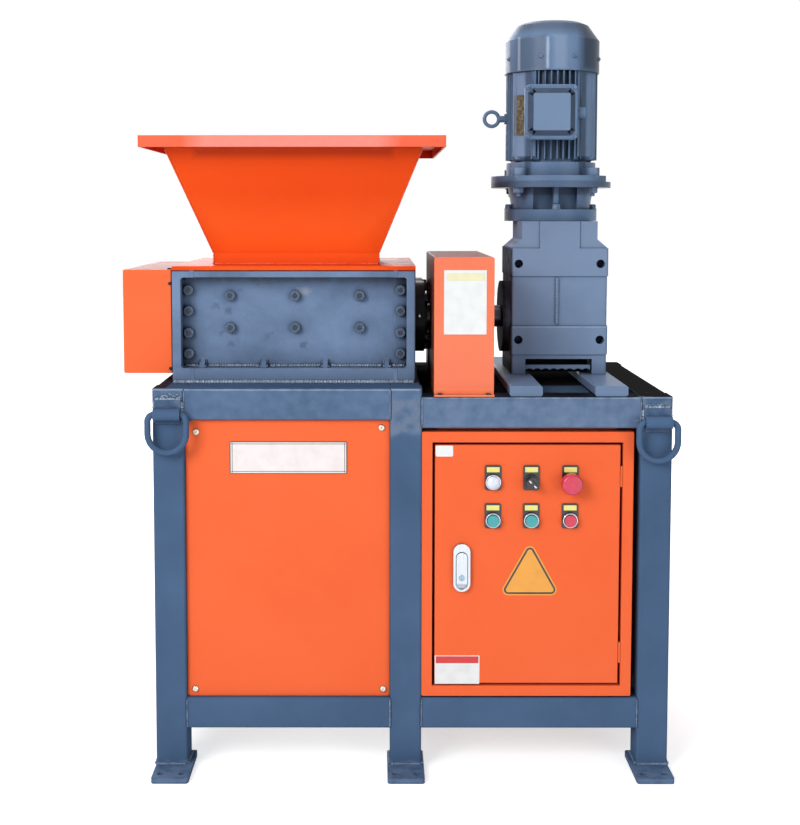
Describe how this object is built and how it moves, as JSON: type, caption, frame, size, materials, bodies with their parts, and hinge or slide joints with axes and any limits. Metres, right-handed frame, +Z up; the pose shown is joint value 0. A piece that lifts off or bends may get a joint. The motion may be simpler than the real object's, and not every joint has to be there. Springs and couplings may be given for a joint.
{
  "type": "double shaft shredder",
  "caption": "Twin rotor shredder on a tube stand with feed hopper, crushing box, sync gear cover, guarded coupling, vertical gearmotor and control cabinet.",
  "frame": {"origin": "on the floor under the middle of the machine's overall box", "axes": "+X to the right as seen from the front, +Y to the back, +Z up"},
  "size_m": [1.063, 0.7, 1.458],
  "materials": {
    "frame_paint": "semi-gloss",
    "deck_black": "matt",
    "orange_paint": "semi-gloss",
    "drive_paint": "semi-gloss",
    "housing_black": "satin",
    "cutter_steel": "ground",
    "shaft_steel": "turned",
    "lock_chrome": "satin",
    "black_plastic": "satin",
    "green_plastic": "gloss",
    "red_plastic": "gloss",
    "white_plastic": "gloss"
  },
  "bodies": {
    "machine": {"legs": "frame_paint", "foot_plates": "frame_paint", "lower_rails": "frame_paint", "upper_rails": "frame_paint", "left_deck": "frame_paint", "right_deck": "deck_black", "ring_brackets": "frame_paint", "left_front_panel": "orange_paint", "right_rear_panel": "orange_paint", "left_side_panel": "orange_paint", "right_side_panel": "orange_paint", "discharge_chute": "frame_paint", "cabinet": "orange_paint", "cabinet_mounts": "orange_paint", "hinge_pins": "orange_paint", "left_end_plate": "frame_paint", "right_end_plate": "frame_paint", "front_wall": "frame_paint", "back_wall": "frame_paint", "front_combs": "cutter_steel", "rear_combs": "cutter_steel", "bearing_housings": "housing_black", "gear_cover": "orange_paint", "hopper": "orange_paint", "coupling_guard": "orange_paint", "sole_rails": "frame_paint", "gear_case": "drive_paint", "motor_adapter": "drive_paint", "motor": "drive_paint", "terminal_box": "drive_paint", "fan_cowl": "drive_paint", "motor_eye": "drive_paint"},
    "front_rotor": {"front_shaft": "shaft_steel", "front_spacers": "cutter_steel", "front_cutters": "cutter_steel", "front_gear": "shaft_steel", "shaft_coupling": "housing_black", "output_shaft": "shaft_steel"},
    "rear_rotor": {"rear_shaft": "shaft_steel", "rear_spacers": "cutter_steel", "rear_cutters": "cutter_steel", "rear_gear": "shaft_steel"},
    "door": {"cabinet_door": "orange_paint", "operator_housings": "black_plastic", "lamp": "white_plastic", "handle_plate": "lock_chrome"},
    "start_button_left": {"start_button_left": "green_plastic"},
    "start_button_right": {"start_button_right": "green_plastic"},
    "stop_button": {"stop_button": "red_plastic"},
    "selector": {"selector_knob": "black_plastic"},
    "mushroom": {"mushroom_button": "red_plastic"},
    "handle": {"handle_lever": "lock_chrome"},
    "ring_front_left": {"lifting_ring_front_left": "frame_paint"},
    "ring_front_right": {"lifting_ring_front_right": "frame_paint"},
    "ring_rear_left": {"lifting_ring_rear_left": "frame_paint"},
    "ring_rear_right": {"lifting_ring_rear_right": "frame_paint"}
  },
  "joints": [
    {"name": "front_rotor_turn", "type": "hinge", "parent": "machine", "child": "front_rotor", "pos_m": [0.0295, -0.025, 0.852], "axis": [1, 0, 0], "continuous": true},
    {"name": "rear_rotor_turn", "type": "hinge", "parent": "machine", "child": "rear_rotor", "pos_m": [0.0295, 0.105, 0.852], "axis": [1, 0, 0], "continuous": true},
    {"name": "door_swing", "type": "hinge", "parent": "machine", "child": "door", "pos_m": [0.425, -0.281, 0.4], "axis": [0, 0, 1], "range_deg": [0, 105]},
    {"name": "start_button_left_press", "type": "slide", "parent": "door", "child": "start_button_left", "axis": [0, 1, 0], "range_m": [0, 0.004], "stiffness_N_per_m": 600},
    {"name": "start_button_right_press", "type": "slide", "parent": "door", "child": "start_button_right", "axis": [0, 1, 0], "range_m": [0, 0.004], "stiffness_N_per_m": 600},
    {"name": "stop_button_press", "type": "slide", "parent": "door", "child": "stop_button", "axis": [0, 1, 0], "range_m": [0, 0.004], "stiffness_N_per_m": 600},
    {"name": "mushroom_press", "type": "slide", "parent": "door", "child": "mushroom", "axis": [0, 1, 0], "range_m": [0, 0.004]},
    {"name": "selector_turn", "type": "hinge", "parent": "door", "child": "selector", "pos_m": [0.2545, -0.29, 0.558], "axis": [0, 1, 0], "range_deg": [0, 90]},
    {"name": "handle_lift", "type": "hinge", "parent": "door", "child": "handle", "pos_m": [0.1235, -0.2875, 0.36348], "axis": [1, 0, 0], "range_deg": [0, 30]},
    {"name": "ring_front_left_swing", "type": "hinge", "parent": "machine", "child": "ring_front_left", "pos_m": [-0.4305, -0.3025, 0.689], "axis": [-1, 0, 0], "range_deg": [0, 160]},
    {"name": "ring_front_right_swing", "type": "hinge", "parent": "machine", "child": "ring_front_right", "pos_m": [0.4895, -0.3025, 0.674], "axis": [-1, 0, 0], "range_deg": [0, 160]},
    {"name": "ring_rear_left_swing", "type": "hinge", "parent": "machine", "child": "ring_rear_left", "pos_m": [-0.4305, 0.3025, 0.689], "axis": [1, 0, 0], "range_deg": [0, 160]},
    {"name": "ring_rear_right_swing", "type": "hinge", "parent": "machine", "child": "ring_rear_right", "pos_m": [0.4895, 0.3025, 0.674], "axis": [1, 0, 0], "range_deg": [0, 160]}
  ],
  "couplings": [
    {"joint": "rear_rotor_turn", "follows": "front_rotor_turn", "ratio": -1}
  ]
}
